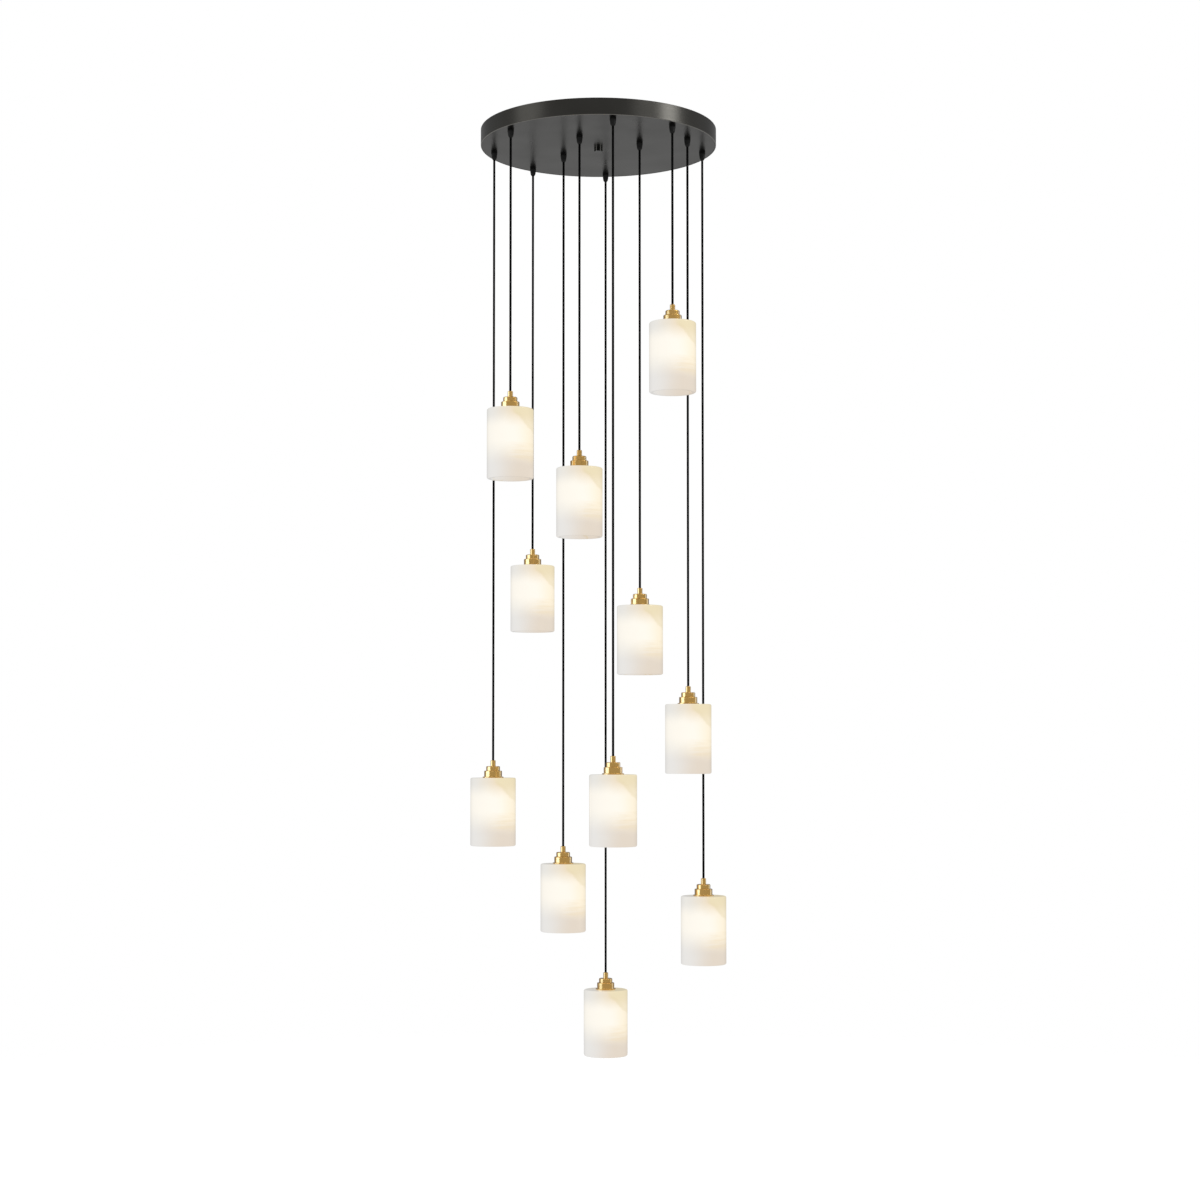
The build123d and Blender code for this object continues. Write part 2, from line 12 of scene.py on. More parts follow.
import bmesh
import bpy
import numpy as np
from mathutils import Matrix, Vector

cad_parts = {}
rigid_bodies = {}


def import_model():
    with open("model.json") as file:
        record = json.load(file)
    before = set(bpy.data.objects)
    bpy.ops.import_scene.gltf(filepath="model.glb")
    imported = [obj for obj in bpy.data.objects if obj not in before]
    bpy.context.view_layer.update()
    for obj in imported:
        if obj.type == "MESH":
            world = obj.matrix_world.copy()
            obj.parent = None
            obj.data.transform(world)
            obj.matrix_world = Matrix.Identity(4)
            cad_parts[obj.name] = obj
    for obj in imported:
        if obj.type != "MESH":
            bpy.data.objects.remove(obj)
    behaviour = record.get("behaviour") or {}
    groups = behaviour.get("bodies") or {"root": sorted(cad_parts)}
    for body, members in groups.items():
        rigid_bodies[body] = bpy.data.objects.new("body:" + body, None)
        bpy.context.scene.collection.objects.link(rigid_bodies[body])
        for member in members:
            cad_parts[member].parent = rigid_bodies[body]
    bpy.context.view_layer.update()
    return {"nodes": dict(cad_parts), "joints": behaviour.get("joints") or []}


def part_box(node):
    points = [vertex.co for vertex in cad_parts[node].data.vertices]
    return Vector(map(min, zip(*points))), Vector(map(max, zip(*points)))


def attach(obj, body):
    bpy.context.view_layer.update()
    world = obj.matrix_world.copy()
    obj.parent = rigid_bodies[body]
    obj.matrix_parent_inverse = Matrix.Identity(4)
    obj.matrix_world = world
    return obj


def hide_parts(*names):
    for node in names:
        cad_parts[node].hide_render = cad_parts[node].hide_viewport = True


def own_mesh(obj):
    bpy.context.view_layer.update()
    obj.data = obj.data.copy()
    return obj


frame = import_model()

MM = 0.001

# %% [markdown]
# ## Camera
# The photograph looks slightly up from below the middle of the light, with a long lens, so the canopy shows
# its underside as a flat ellipse while the shades stay nearly upright. A camera could be turned by eye until
# it matches, but lens, place and tilt were worked out from the ellipse and from the shades' pixel places.
# The small shift slides the picture, as the middle of a cut-out needn't be where the lens pointed.

# %% Place the camera
PHOTO_PIXELS = 1200
FOCAL_PIXELS = 2265
SHIFT_PIXELS = 60
SENSOR_MM = 36.0
CAMERA_PLACE = (0.0035, -4.964, -1.371)
CAMERA_TILT_UP = 2.3

camera_data = bpy.data.cameras.new("photo_camera")
camera_data.sensor_width = SENSOR_MM
camera_data.lens = SENSOR_MM * FOCAL_PIXELS / PHOTO_PIXELS
camera_data.shift_y = SHIFT_PIXELS / PHOTO_PIXELS
camera = bpy.data.objects.new("photo_camera", camera_data)
camera.location = CAMERA_PLACE
camera.rotation_euler = (radians(90.0 + CAMERA_TILT_UP), 0.0, 0.0)
bpy.context.scene.collection.objects.link(camera)
bpy.context.scene.camera = camera
print(f"camera: {camera_data.lens:.1f} mm lens, {-CAMERA_PLACE[1]:.2f} m from the canopy's axis")

# %% [markdown]
# ## Where the pendants hang
# Each pendant has a swing joint in the nose of its cord grip. The joint's place, the shade's box and the
# cord's box hold all that the pieces below need, so no place is typed a second time here.


# %% Read the pendants from the frame
class Pendant(NamedTuple):
    """One hanging shade: its number, its cord's pivot, and the heights of its cord and its shade."""

    number: str
    x: float
    y: float
    pivot: float
    cord_top: float
    cord_foot: float
    shade_top: float

    @property
    def body(self):
        return f"pendant_{self.number}"


def read_pendant(joint):
    """The pendant that hangs from one swing joint."""
    number = joint["name"][-2:]
    cord_low, cord_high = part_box(f"cord_{number}")
    shade_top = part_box(f"shade_{number}")[1].z
    return Pendant(number, *joint["pos_m"], cord_high.z, cord_low.z, shade_top)


pendants = [read_pendant(joint) for joint in frame["joints"] if joint["type"] == "hinge"]
shade_tops = [p.shade_top for p in pendants]
print(f"{len(pendants)} pendants, shade tops from {max(shade_tops):.3f} m to {min(shade_tops):.3f} m")

# %% [markdown]
# ## Making nodes and colours
# Every finish below is a small graph of shader nodes. Writing each node and link by hand is long, so one
# function adds a node, sets it up and links it. Colours are written as the hex values a painter would pick
# on a screen, and one function turns them into the linear light that the renderer works in.


# %% Helpers for materials
def add(tree, kind, inputs=None, **settings):
    """Adds a shader node with its settings. An input is a value, a socket to link, or a node, of which the
    first output in use is linked."""
    node = tree.nodes.new("ShaderNode" + kind)
    for name, value in settings.items():
        setattr(node, name, value)
    for name, value in (inputs or {}).items():
        if isinstance(value, bpy.types.Node):
            value = next(output for output in value.outputs if output.enabled)
        if isinstance(value, bpy.types.NodeSocket):
            tree.links.new(value, node.inputs[name])
        else:
            node.inputs[name].default_value = value
    return node


def linear(hex_colour):
    """A hex colour as linear light: each channel is raised by the sRGB curve, and alpha is 1."""
    channels = np.array([int(hex_colour[start:start + 2], 16) for start in (1, 3, 5)]) / 255
    light = np.where(channels <= 0.04045, channels / 12.92, ((channels + 0.055) / 1.055) ** 2.4)
    return (*light.tolist(), 1.0)


def new_material(name):
    """An empty material and its node tree."""
    material = bpy.data.materials.new(name)
    material.use_nodes = True
    material.node_tree.nodes.clear()
    return material, material.node_tree


# A Mix node that mixes colours takes them in at sockets A and B, and gives the mixed one out at MIXED
A, B, MIXED = 6, 7, 2
print("material helpers ready")

# %% [markdown]
# ## The cords
# A pendant like this hangs on a round two-core flex with a black PVC sheath. Its weight pulls it dead
# straight, so the route is one line from the grip's nose to the nipple in the lamp holder, with one more
# point near each end, where a real cord would start to bend. A curve with a bevel could draw it, but a mesh
# tube can also be shortened when the cord is drawn up into the canopy.


# %% PVC sheath of the cords and leads
def make_black_sheath():
    """PVC, extruded and dull: deep black, a shade greyer in the long streaks that handling leaves."""
    streak_width = 2.0 * MM
    streak_length = 120.0 * MM
    material, tree = new_material("black_pvc_sheath")
    place = add(tree, "TexCoord").outputs["Object"]
    scales = [1 / size for size in (streak_width, streak_width, streak_length)]
    streaks = add(tree, "VectorMath", {0: place, 1: scales}, operation="MULTIPLY")
    wear = add(tree, "TexNoise", {"Vector": streaks, "Scale": 1.0, "Detail": 2.0})
    colour = add(tree, "Mix", {0: wear, A: linear("#050505"), B: linear("#0E0E0E")}, data_type="RGBA")
    gloss = add(tree, "MapRange", {"Value": wear, "To Min": 0.68, "To Max": 0.8})
    pvc = add(tree, "BsdfPrincipled", {
        "Base Color": colour.outputs[MIXED], "Roughness": gloss, "IOR": 1.53, "Specular IOR Level": 0.05})
    add(tree, "OutputMaterial", {"Surface": pvc})
    return material


black_sheath = make_black_sheath()
print("made", black_sheath.name)


# %% Helpers for tubes and pieces
def smooth_route(points):
    """Points along a NURBS spline that has the route's points as its control points."""
    curve = bpy.data.curves.new("route", "CURVE")
    curve.dimensions = "3D"
    spline = curve.splines.new("NURBS")
    spline.points.add(len(points) - 1)
    spline.points.foreach_set("co", np.column_stack([points, np.ones(len(points))]).ravel())
    spline.order_u = 3
    spline.use_endpoint_u = True
    holder = bpy.data.objects.new("route", curve)
    line = bpy.data.meshes.new_from_object(holder)
    found = np.zeros(3 * len(line.vertices))
    line.vertices.foreach_get("co", found)
    bpy.data.meshes.remove(line)
    bpy.data.objects.remove(holder)
    bpy.data.curves.remove(curve)
    return found.reshape(-1, 3)


def grid_faces(rows, columns, wrap=True):
    """The corners of each face of a grid of points that closes round its rows and, with wrap, its columns."""
    row, column = np.meshgrid(np.arange(rows), np.arange(columns if wrap else columns - 1), indexing="ij")
    next_row = (row + 1) % rows
    next_column = (column + 1) % columns
    corners = [(row, column), (next_row, column), (next_row, next_column), (row, next_column)]
    return np.stack([a * columns + b for a, b in corners], axis=-1).reshape(-1, 4)


def tube(path, diameter, sides):
    """A round bar along a path: at every path point, a circle in the plane across the path."""
    along = np.gradient(path, axis=0)
    along /= np.linalg.norm(along, axis=1, keepdims=True)
    across = np.cross(along, (0.0, 1.0, 0.0))
    across /= np.linalg.norm(across, axis=1, keepdims=True)
    third = np.cross(along, across)
    angle = np.linspace(0.0, 2 * np.pi, sides, endpoint=False)[:, None, None]
    return path + diameter / 2 * (np.cos(angle) * across + np.sin(angle) * third)


def new_piece(name, points, faces, material):
    """A smooth-shaded mesh object in the frame, with its place in its mesh."""
    mesh = bpy.data.meshes.new(name)
    mesh.from_pydata(np.asarray(points).reshape(-1, 3), [], faces, shade_flat=False)
    mesh.materials.append(material)
    piece = bpy.data.objects.new(name, mesh)
    bpy.context.scene.collection.objects.link(piece)
    return piece


print("tube helpers ready")

# %% Cords
CORD_DIAMETER = 5.0 * MM
CORD_SIDES = 24
END_RUN = 6 * CORD_DIAMETER

grip_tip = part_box("grip_noses")[0].z
for p in pendants:
    ferrule_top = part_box(f"lamp_holder_{p.number}")[1].z
    heights = [p.cord_top, grip_tip - END_RUN, ferrule_top + END_RUN, p.cord_foot]
    path = smooth_route([(p.x, p.y, z) for z in heights])
    rings = tube(path, CORD_DIAMETER, CORD_SIDES)
    ends = np.arange(CORD_SIDES) * len(path)
    faces = grid_faces(CORD_SIDES, len(path), wrap=False).tolist()
    faces += [ends.tolist(), (ends[::-1] + len(path) - 1).tolist()]
    cord = new_piece(f"hanging_flex_{p.number}", rings, faces, black_sheath)
    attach(cord, f"hanging_cord_{p.number}")
    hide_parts(f"cord_{p.number}")
    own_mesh(cord)

# %% [markdown]
# ## Turned shapes
# The shade, the brass holder, the bulb and the canopy's rim are all bodies of revolution, made on a lathe or
# by rolling. Cylinders with bevelled edges could stand for them, but an outline in radius and height, with a
# round of its own at each corner, carried round the axis, gives every edge its true softness.
# Each round gets one more point just beside its ends: the flat then keeps its flat shading, and only the
# round itself catches the light, as a worked edge does.


# %% Helpers for turned shapes
def rounded(corners, radii, steps=6, beside=0.25):
    """An outline with its corners rounded. With h half the angle between a corner's sides, an arc of radius r
    has its centre r / sin(h) from the corner, along their middle line, and touches the sides r / tan(h) from
    the corner. Its points turn evenly from one touching point to the other, with one more beside each end."""
    corner = np.array(corners, float)
    radius = np.array(radii, float)[:, None]
    back = np.roll(corner, 1, axis=0) - corner
    ahead = np.roll(corner, -1, axis=0) - corner
    back /= np.linalg.norm(back, axis=1, keepdims=True)
    ahead /= np.linalg.norm(ahead, axis=1, keepdims=True)
    half = np.arccos((back * ahead).sum(axis=1, keepdims=True)) / 2
    middle = (back + ahead) / np.linalg.norm(back + ahead, axis=1, keepdims=True)
    centre = corner + middle * radius / np.sin(half)
    touch = radius / np.tan(half)
    turn = np.pi - 2 * half
    share = np.linspace(0.0, 1.0, steps)[:, None, None]
    first = corner + back * touch - centre
    last = corner + ahead * touch - centre
    arc = centre + (np.sin((1 - share) * turn) * first + np.sin(share * turn) * last) / np.sin(turn)
    before = (corner + back * (touch + beside))[None]
    after = (corner + ahead * (touch + beside))[None]
    return np.concatenate([before, arc, after]).transpose(1, 0, 2).reshape(-1, 2)


def turned(outline, segments):
    """An outline carried round Z: at each angle a, a point of radius r and height z goes to
    (r cos a, r sin a, z)."""
    angle = np.linspace(0.0, 2 * np.pi, segments, endpoint=False)[:, None]
    radius, height = outline.T
    return np.stack([radius * np.cos(angle), radius * np.sin(angle), height + 0 * angle], axis=-1)


def joined(grids):
    """Several closed grids of points as one list of points and one of faces."""
    sizes = [grid.shape[0] * grid.shape[1] for grid in grids]
    starts = np.cumsum([0] + sizes[:-1])
    faces = [grid_faces(*grid.shape[:2]) + start for grid, start in zip(grids, starts)]
    return np.concatenate([grid.reshape(-1, 3) for grid in grids]), np.concatenate(faces)


def placed(points, p):
    """Points in millimetres from the middle of a shade's top face, moved to a pendant in metres."""
    return points * MM + (p.x, p.y, p.shade_top)


print("turning helpers ready")

# %% [markdown]
# ## Alabaster
# Alabaster is a fine-grained gypsum. Cut thin and lit from inside it glows: milky white beside the bulb,
# greyer and warmer towards its ends, with a honey-coloured corner behind a clean slanting bed, and faint
# level layers. Light could be traced through the stone, but that is slow and noisy. Here the glow is painted
# into the stone as emission, in millimetres from the shade's own top, so it holds from any side.

# %% Measures in the stone
# Sizes in millimetres, as the shade's own points are
CLOUD_SIZE = 34.0
CLOUD_DRIFT = 14.0
BED_RIPPLE = 20.0
LAYER_SPREAD = 80.0
LAYER_HEIGHT = 6.0
VEIN_SIZE = 70.0
# Directions, a slope, and the value that noise swings about
BED_NORMAL = (0.66, 0.0, 0.75)
LEVEL = (1.0, 1.0, 0.0)
GLOW_LEAN = 0.12
NOISE_MIDDLE = 0.5


def measure_stone(tree):
    """What the stone's colours follow. Places are in millimetres from the middle of the shade's top, and most
    are shifted by clouds. The bed is the distance past a slanting, rippled plane. Layers and veins come from
    noise: flattened for the layers, and taken from its middle value for the veins."""
    stone = add(tree, "Attribute", attribute_name="stone").outputs["Vector"]
    cloud = add(tree, "TexNoise", {"Vector": stone, "Scale": 1 / CLOUD_SIZE, "Detail": 3.0})
    middle = [NOISE_MIDDLE] * 3
    swing = add(tree, "VectorMath", {0: cloud.outputs["Color"], 1: middle}, operation="SUBTRACT")
    drift = add(tree, "VectorMath", {0: swing, "Scale": CLOUD_DRIFT}, operation="SCALE")
    clouded = add(tree, "VectorMath", {0: stone, 1: drift}, operation="ADD")
    place = add(tree, "SeparateXYZ", {0: clouded}).outputs
    lean = add(tree, "Math", {0: place["X"], 1: GLOW_LEAN, 2: place["Z"]}, operation="MULTIPLY_ADD")

    across_bed = add(tree, "VectorMath", {0: stone, 1: BED_NORMAL}, operation="DOT_PRODUCT").outputs["Value"]
    sunk = -NOISE_MIDDLE * BED_RIPPLE
    ripple = add(tree, "Math", {0: cloud, 1: BED_RIPPLE, 2: sunk}, operation="MULTIPLY_ADD")
    bed = add(tree, "Math", {0: across_bed, 1: ripple}, operation="ADD")

    scales = [1 / size for size in (LAYER_SPREAD, LAYER_SPREAD, LAYER_HEIGHT)]
    flattened = add(tree, "VectorMath", {0: stone, 1: scales}, operation="MULTIPLY")
    layers = add(tree, "TexNoise", {"Vector": flattened, "Scale": 1.0, "Detail": 2.0})

    block = add(tree, "Attribute", attribute_name="block").outputs["Vector"]
    drifted = add(tree, "VectorMath", {0: block, 1: drift}, operation="ADD")
    wander = add(tree, "TexNoise", {"Vector": drifted, "Scale": 1 / VEIN_SIZE, "Detail": 4.0})
    beside_vein = add(tree, "Math", {0: wander, 1: NOISE_MIDDLE}, operation="SUBTRACT")
    off_vein = add(tree, "Math", {0: beside_vein}, operation="ABSOLUTE")

    depth = add(tree, "SeparateXYZ", {0: stone}).outputs["Y"]
    level = add(tree, "VectorMath", {0: stone, 1: LEVEL}, operation="MULTIPLY")
    radius = add(tree, "VectorMath", {0: level}, operation="LENGTH").outputs["Value"]
    return {"stone": stone, "right": place["X"], "height": place["Z"], "depth": depth, "radius": radius,
            "lean": lean, "bed": bed, "layers": layers, "off_vein": off_vein}


print(f"the stone's clouds are {CLOUD_SIZE:.0f} mm across, its layers {LAYER_HEIGHT:.0f} mm high")

# %% Alabaster material
# Each soft step: the measure that it follows, where it starts from 0 and where it ends, and its top there
SOFT_STEPS = {
    "beige": ("right", -45.0, 25.0, 1.0),
    "foot": ("height", -70.0, -125.0, 1.0),
    # The next two steps tint the painted glow: from cooler to whiter across the left, and warmer on the right
    "milky": ("right", -50.0, 0.0, 1.0),
    "warm": ("right", 5.0, 50.0, 1.0),
    "glow_head": ("height", -8.0, -46.0, 1.0),
    "glow_foot": ("lean", -127.0, -71.0, 1.0),
    "behind_bed": ("bed", -11.0, 1.0, 1.0),
    "honey_side": ("right", -3.0, 17.0, 1.0),
    "line_front": ("bed", -8.0, -4.6, 1.0),
    "line_back": ("bed", 4.0, -4.6, 0.2),
    "line_side": ("right", -1.0, 15.0, 1.0),
    "layer": ("layers", 0.42, 0.72, 0.35),
    "layer_side": ("right", -12.0, 20.0, 1.0),
    "layer_head": ("height", -62.0, -90.0, 1.0),
    "layer_foot": ("height", -128.0, -108.0, 1.0),
    "vein": ("off_vein", 0.035, 0.0, 0.45),
    "far_side": ("depth", 2.0, 26.0, 1.0),
}
# Colours over the lit stone, each where its shares overlap: the honey-coloured corner behind the bed, the
# line along the bed, the level layers low on the right, and the thin veins that cross the far side
TINTS = [
    ("#EBDEBA", ["behind_bed", "honey_side", "honey_fade"]),
    ("#DCCB9C", ["line_front", "line_back", "line_side"]),
    ("#EDDAB6", ["layer", "layer_side", "layer_head", "layer_foot"]),
    ("#D8C49C", ["vein", "far_side"]),
]


def make_alabaster():
    """Gypsum, honed and waxed: a painted glow where the bulb is near, clouded, bedded and finely veined
    elsewhere.
    """
    # The real grain is finer, and is drawn coarser to show
    grain_size = 2.5
    grain_depth = 0.3 * MM
    base_share = 0.16
    material, tree = new_material("honed_alabaster")
    measures = measure_stone(tree)
    share = {}
    for name, (measure, start, end, top) in SOFT_STEPS.items():
        reach = {"Value": measures[measure], "From Min": start, "From Max": end, "To Max": top}
        share[name] = add(tree, "MapRange", reach, interpolation_type="SMOOTHSTEP")
    share["honey_fade"] = add(tree, "MapRange", {
        "Value": measures["height"], "From Min": -5.0, "From Max": -48.0, "To Min": 0.9, "To Max": 0.2})

    # The unlit stone: grey-white on the left, beige on the right, pinker at the foot
    head = add(tree, "Mix", {0: share["beige"], A: linear("#E7E5E0"), B: linear("#EFDDBE")}, data_type="RGBA")
    foot = add(tree, "Mix", {0: share["beige"], A: linear("#E7E5E2"), B: linear("#E2D6C7")}, data_type="RGBA")
    ends = {A: head.outputs[MIXED], B: foot.outputs[MIXED]}
    unlit = add(tree, "Mix", {0: share["foot"], **ends}, data_type="RGBA")

    # The glow round the bulb, which reaches lower on the right
    cool = add(tree, "Mix", {0: share["milky"], A: linear("#FBF6EC"), B: linear("#FEF9EE")}, data_type="RGBA")
    ends = {A: cool.outputs[MIXED], B: linear("#FEF2DA")}
    glow = add(tree, "Mix", {0: share["warm"], **ends}, data_type="RGBA")
    lit = add(tree, "Math", {0: share["glow_head"], 1: share["glow_foot"]}, operation="MULTIPLY")
    ends = {A: unlit.outputs[MIXED], B: glow.outputs[MIXED]}
    colour = add(tree, "Mix", {0: lit, **ends}, data_type="RGBA").outputs[MIXED]

    for tint, names in TINTS:
        cover = share[names[0]]
        for name in names[1:]:
            cover = add(tree, "Math", {0: cover, 1: share[name]}, operation="MULTIPLY")
        colour = add(tree, "Mix", {0: cover, A: colour, B: linear(tint)}, data_type="RGBA").outputs[MIXED]

    # The bore glows a little less than the outside, because the bulb lights it as well
    strength = add(tree, "MapRange", {
        "Value": measures["radius"], "From Min": 43.0, "From Max": 48.0, "To Min": 0.88, "To Max": 0.95})
    shine = add(tree, "VectorMath", {0: colour, "Scale": strength}, operation="SCALE")
    # The base colour is the same colour, painted glow included, at a small share
    base_with_glow = add(tree, "VectorMath", {0: colour, "Scale": base_share}, operation="SCALE")
    grain = add(tree, "TexNoise", {"Vector": measures["stone"], "Scale": 1 / grain_size, "Detail": 2.0})
    hone = add(tree, "MapRange", {"Value": grain, "To Min": 0.4, "To Max": 0.52})
    skin = add(tree, "Bump", {"Height": grain, "Strength": 0.06, "Distance": grain_depth})
    gypsum = add(tree, "BsdfPrincipled", {
        "Base Color": base_with_glow, "Emission Color": shine, "Emission Strength": 1.0, "Roughness": hone,
        "Normal": skin, "IOR": 1.52, "Specular IOR Level": 0.0, "Coat Weight": 0.7, "Coat Roughness": 0.22})
    add(tree, "OutputMaterial", {"Surface": gypsum})
    return material


alabaster = make_alabaster()
print("made", alabaster.name, "with", len(alabaster.node_tree.nodes), "nodes")

# %% [markdown]
# ## The shades
# Each shade is a cylinder of stone, bored out from below and closed on top but for the hole that the lamp
# holder passes through. Its arrises are eased by hand, so they are soft. The alabaster could read Object
# coordinates, but each shade hangs at its own height, so no two would match. Instead the mesh keeps a copy of
# its points, in millimetres from its own top, as an attribute. A second copy is moved on from shade to shade,
# as if each was cut further along one block, and leads the veins.

# %% Shades
SHADE_RADIUS = 50.0
SHADE_HEIGHT = 150.0
SHADE_WALL = 9.0
SHADE_TOP = 10.0
SHADE_HOLE_RADIUS = 20.0
SHADE_SEGMENTS = 128
BLOCK_STEP = 160.0
# Here and below, rounds are the radii at an outline's corners, in the order of the corners
SHADE_ROUNDS = [3.5, 3.5, 0.5, 0.5, 2.0, 2.0]

bore = SHADE_RADIUS - SHADE_WALL
shade_corners = [
    (SHADE_RADIUS, -SHADE_HEIGHT), (SHADE_RADIUS, 0), (SHADE_HOLE_RADIUS, 0),
    (SHADE_HOLE_RADIUS, -SHADE_TOP), (bore, -SHADE_TOP), (bore, -SHADE_HEIGHT)]
shade_points = turned(rounded(shade_corners, SHADE_ROUNDS, steps=8, beside=0.5), SHADE_SEGMENTS)
shade_faces = grid_faces(*shade_points.shape[:2])
for place_in_block, p in enumerate(pendants):
    shade = new_piece(f"stone_shade_{p.number}", placed(shade_points, p), shade_faces, alabaster)
    cut = shade_points + (0.0, 0.0, -place_in_block * BLOCK_STEP)
    for name, points in (("stone", shade_points), ("block", cut)):
        attribute = shade.data.attributes.new(name, "FLOAT_VECTOR", "POINT")
        attribute.data.foreach_set("vector", points.astype(np.float32).ravel())
    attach(shade, p.body)
    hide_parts(f"shade_{p.number}")
print(f"{len(pendants)} shades of {len(shade_faces)} faces")

# %% [markdown]
# ## Polished brass
# The lamp holders are turned from brass rod and polished, then lacquered. Polished brass shows its
# surroundings in gold: a bright band where a soft box stands, brown where the room is dark. One even gold
# could do from afar, but close up it would look moulded, so colour and gloss vary a little. The lathe leaves
# very fine rings, far too fine to show from here, so they are drawn coarser, as a faint change of gloss.


# %% Brass material
def make_brass():
    """Turned and polished brass: a warm gold mirror, a little blurred, with faint rings round the axis."""
    ring_spread = 60.0 * MM
    ring_pitch = 1.2 * MM
    ring_depth = 0.2 * MM
    tarnish_size = 9.0 * MM
    material, tree = new_material("polished_brass")
    place = add(tree, "TexCoord").outputs["Object"]
    scales = [1 / size for size in (ring_spread, ring_spread, ring_pitch)]
    rings = add(tree, "VectorMath", {0: place, 1: scales}, operation="MULTIPLY")
    turning = add(tree, "TexNoise", {"Vector": rings, "Scale": 1.0, "Detail": 1.0})
    tarnish = add(tree, "TexNoise", {"Vector": place, "Scale": 1 / tarnish_size, "Detail": 3.0})
    colour = add(tree, "Mix", {0: tarnish, A: linear("#E6B660"), B: linear("#DAA84E")}, data_type="RGBA")
    gloss = add(tree, "MapRange", {"Value": turning, "To Min": 0.14, "To Max": 0.24})
    ridges = add(tree, "Bump", {"Height": turning, "Strength": 0.08, "Distance": ring_depth})
    brass = add(tree, "BsdfPrincipled", {
        "Base Color": colour.outputs[MIXED], "Roughness": gloss, "Normal": ridges, "Metallic": 1.0,
        "Coat Weight": 1.0, "Coat Roughness": 0.1})
    add(tree, "OutputMaterial", {"Surface": brass})
    return material


polished_brass = make_brass()
print("made", polished_brass.name)

# %% [markdown]
# ## The lamp holders
# A holder is three turned tiers, each screwed to the next: a slim ferrule that grips the cord, a cap, and a
# body with a thin flange on the stone. Below the flange a threaded skirt goes down through the shade's hole,
# and a fluted ring is screwed up it from inside, so the stone is clamped between flange and ring.
# Each tier is a rounded outline turned about the axis. The thread and the flutes change the radius with the
# angle, so they are made as grids of their own.


# %% Helpers for threads and flutes
def threaded(outer, inner, bottom, top, pitch, depth, segments, rows):
    """A threaded sleeve: outside, the radius swings in by the depth once in every pitch, and the swing climbs
    one pitch a turn. Inside it is a plain bore."""
    angle = np.linspace(0.0, 2 * np.pi, segments, endpoint=False)[:, None]
    height = np.linspace(bottom, top, rows)
    wave = 0.5 - 0.5 * np.cos(2 * np.pi * (height / pitch - angle / (2 * np.pi)))
    fade = np.clip(np.minimum(height - bottom, top - height) / pitch, 0.0, 1.0)
    outside = np.stack([outer - depth * wave * fade, height + 0 * angle], axis=-1)
    inside = np.array([(inner, top), (inner, bottom)]) + np.zeros((segments, 2, 2))
    outline = np.concatenate([outside, inside], axis=1)
    radius, level = outline[..., 0], outline[..., 1]
    return np.stack([radius * np.cos(angle), radius * np.sin(angle), level], axis=-1)


def fluted(outline, outer, reach, depth, flutes, segments):
    """A turned outline whose points within reach of the outside swing in by the depth once in every flute."""
    angle = np.linspace(0.0, 2 * np.pi, segments, endpoint=False)[:, None]
    edge = np.clip(outline[:, 0] - (outer - reach), 0.0, reach) / reach
    scale = 1 - depth / outer * edge * (0.5 - 0.5 * np.cos(flutes * angle))
    points = turned(outline, segments)
    points[..., :2] *= scale[..., None]
    return points


print("thread and flute helpers ready")

# %% Tiers of a holder
HOLDER_WALL = 2.0
CORD_BORE_RADIUS = 2.8
NIPPLE_HOLE_RADIUS = 4.2
FERRULE_RADIUS = 5.65
FERRULE_TOP = 38.5
FERRULE_ROUNDS = [0.4, 1.2, 0.4, 0.2]
CAP_RADIUS = 15.2
CAP_TOP = 25.5
CAP_ROUNDS = [0.5, 2.0, 0.2, 0.2, 1.0, 0.2]
BODY_RADIUS = 19.65
BODY_TOP = 15.5
FLANGE_RADIUS = 23.0
FLANGE_TOP = 2.5
SOCKET_RADIUS = 17.5
BODY_ROUNDS = [0.3, 0.8, 0.5, 1.5, 0.2, 0.2, 1.0, 0.2]

ferrule_corners = [
    (FERRULE_RADIUS, CAP_TOP), (FERRULE_RADIUS, FERRULE_TOP), (CORD_BORE_RADIUS, FERRULE_TOP),
    (CORD_BORE_RADIUS, CAP_TOP)]
cap_inside = CAP_RADIUS - HOLDER_WALL
cap_ceiling = CAP_TOP - HOLDER_WALL
cap_corners = [
    (CAP_RADIUS, BODY_TOP), (CAP_RADIUS, CAP_TOP), (NIPPLE_HOLE_RADIUS, CAP_TOP),
    (NIPPLE_HOLE_RADIUS, cap_ceiling), (cap_inside, cap_ceiling), (cap_inside, BODY_TOP)]
body_ceiling = BODY_TOP - HOLDER_WALL
body_corners = [
    (FLANGE_RADIUS, 0), (FLANGE_RADIUS, FLANGE_TOP), (BODY_RADIUS, FLANGE_TOP), (BODY_RADIUS, BODY_TOP),
    (NIPPLE_HOLE_RADIUS, BODY_TOP), (NIPPLE_HOLE_RADIUS, body_ceiling), (SOCKET_RADIUS, body_ceiling),
    (SOCKET_RADIUS, 0)]
ferrule = rounded(ferrule_corners, FERRULE_ROUNDS)
cap = rounded(cap_corners, CAP_ROUNDS)
body = rounded(body_corners, BODY_ROUNDS)
print(f"three tiers, {FERRULE_TOP} mm high on a flange of {2 * FLANGE_RADIUS:.0f} mm")

# %% Holders
HOLDER_SEGMENTS = 96
SKIRT_RADIUS = 19.5
SKIRT_FOOT = -28.0
THREAD_PITCH = 3.0
THREAD_DEPTH = 0.6
THREAD_ROWS = 57
RING_RADIUS = 28.0
RING_BORE_RADIUS = 19.65
RING_TOP = -10.0
RING_FOOT = -16.0
RING_ROUNDS = [1.5, 0.6, 0.3, 0.6]
FLUTE_COUNT = 24
FLUTE_REACH = 2.0
FLUTE_DEPTH = 0.8

